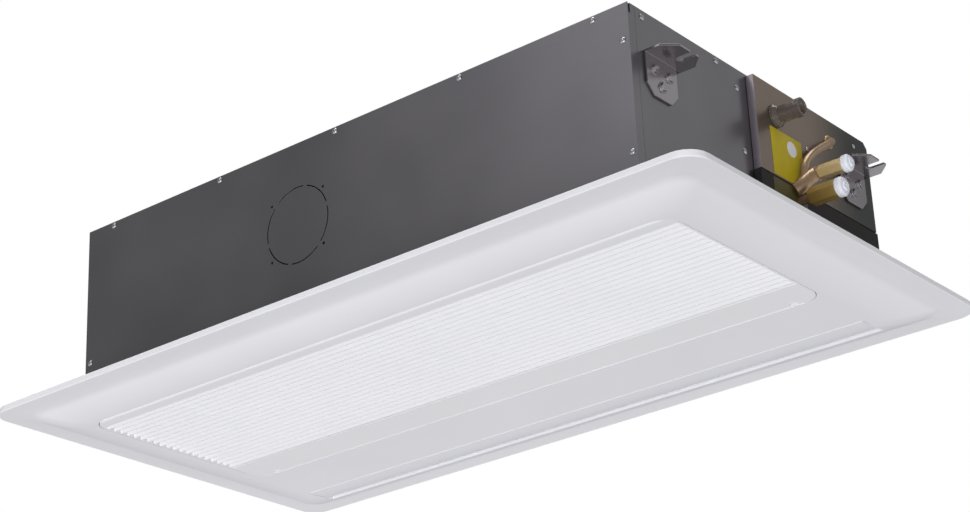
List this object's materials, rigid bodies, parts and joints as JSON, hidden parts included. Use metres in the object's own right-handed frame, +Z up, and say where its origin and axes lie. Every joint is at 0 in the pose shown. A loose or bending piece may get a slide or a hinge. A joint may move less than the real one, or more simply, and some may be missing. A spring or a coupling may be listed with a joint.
{
  "type": "ceiling cassette air conditioner",
  "caption": "Ceiling cassette indoor unit: steel casing on hanger brackets, white panel with hinged louvred intake door, air filter and one-way outlet flap.",
  "frame": {"origin": "middle of the casing's plan, on the plane of the ceiling, which is the back of the panel", "axes": "+X along the unit towards the pipe connections, +Y from the intake door towards the outlet flap, +Z up into the ceiling void"},
  "size_m": [1.204, 0.667, 0.282],
  "materials": {
    "steel": "galvanised sheet, satin",
    "bracket_steel": "galvanised plate, satin",
    "white_plastic": "satin moulded white",
    "grille_plastic": "satin moulded white",
    "foam": "matt closed-cell foam",
    "expanded_foam": "matt beaded foam",
    "aluminium": "bare fins",
    "copper": "bare copper, brushed",
    "brass": "turned brass",
    "cap_plastic": "satin moulded",
    "dark_plastic": "smooth dark plastic",
    "black_plastic": "satin black",
    "motor_shell": "satin zinc",
    "board": "resist-coated board"
  },
  "bodies": {
    "casing": {"casing_near": "steel", "casing_far": "steel", "casing_top": "steel", "casing_pipe_end": "steel", "casing_blind_end": "steel", "casing_base": "steel", "pipe_cover": "steel", "fan_plate_motor": "steel", "fan_plate_bearing": "steel", "motor_saddle": "steel", "control_box": "steel", "control_lid": "steel", "hanger_pipe_near": "bracket_steel", "hanger_pipe_far": "bracket_steel", "hanger_blind_near": "bracket_steel", "hanger_blind_far": "bracket_steel", "panel_frame": "white_plastic", "float_switch": "white_plastic", "foot_pad": "foam", "foam_liner": "foam", "drain_pan": "expanded_foam", "coil_fins": "aluminium", "coil_sheet_pipe": "copper", "coil_sheet_blind": "copper", "gas_pipe": "copper", "liquid_pipe": "copper", "gas_union": "brass", "liquid_union": "brass", "gas_cap": "cap_plastic", "liquid_cap": "cap_plastic", "drain_outlet": "dark_plastic", "fan_scroll": "black_plastic", "fan_bearing": "black_plastic", "drain_pump": "black_plastic", "pump_hose": "black_plastic", "terminal_block": "black_plastic", "flap_motor": "black_plastic", "fan_motor": "motor_shell", "control_board": "board"},
    "fan": {"fan_rotor": "black_plastic"},
    "float": {"float_ring": "white_plastic"},
    "door": {"grille_door": "grille_plastic", "air_filter": "black_plastic"},
    "catch_left": {"catch_left": "white_plastic"},
    "catch_right": {"catch_right": "white_plastic"},
    "flap": {"outlet_flap": "white_plastic"}
  },
  "joints": [
    {"name": "door_hinge", "type": "hinge", "parent": "casing", "child": "door", "pos_m": [0, -0.216, -0.0214], "axis": [-1, 0, 0], "range_deg": [0, 90]},
    {"name": "catch_left_slide", "type": "slide", "parent": "door", "child": "catch_left", "axis": [0, 1, 0], "range_m": [0, 0.004]},
    {"name": "catch_right_slide", "type": "slide", "parent": "door", "child": "catch_right", "axis": [0, 1, 0], "range_m": [0, 0.004]},
    {"name": "flap_hinge", "type": "hinge", "parent": "casing", "child": "flap", "pos_m": [0, 0.218, -0.0205], "axis": [-1, 0, 0], "range_deg": [0, 60]},
    {"name": "fan_spin", "type": "hinge", "parent": "casing", "child": "fan", "pos_m": [0, 0.172, 0.126], "axis": [1, 0, 0], "continuous": true},
    {"name": "float_slide", "type": "slide", "parent": "casing", "child": "float", "axis": [0, 0, 1], "range_m": [0, 0.012]}
  ]
}
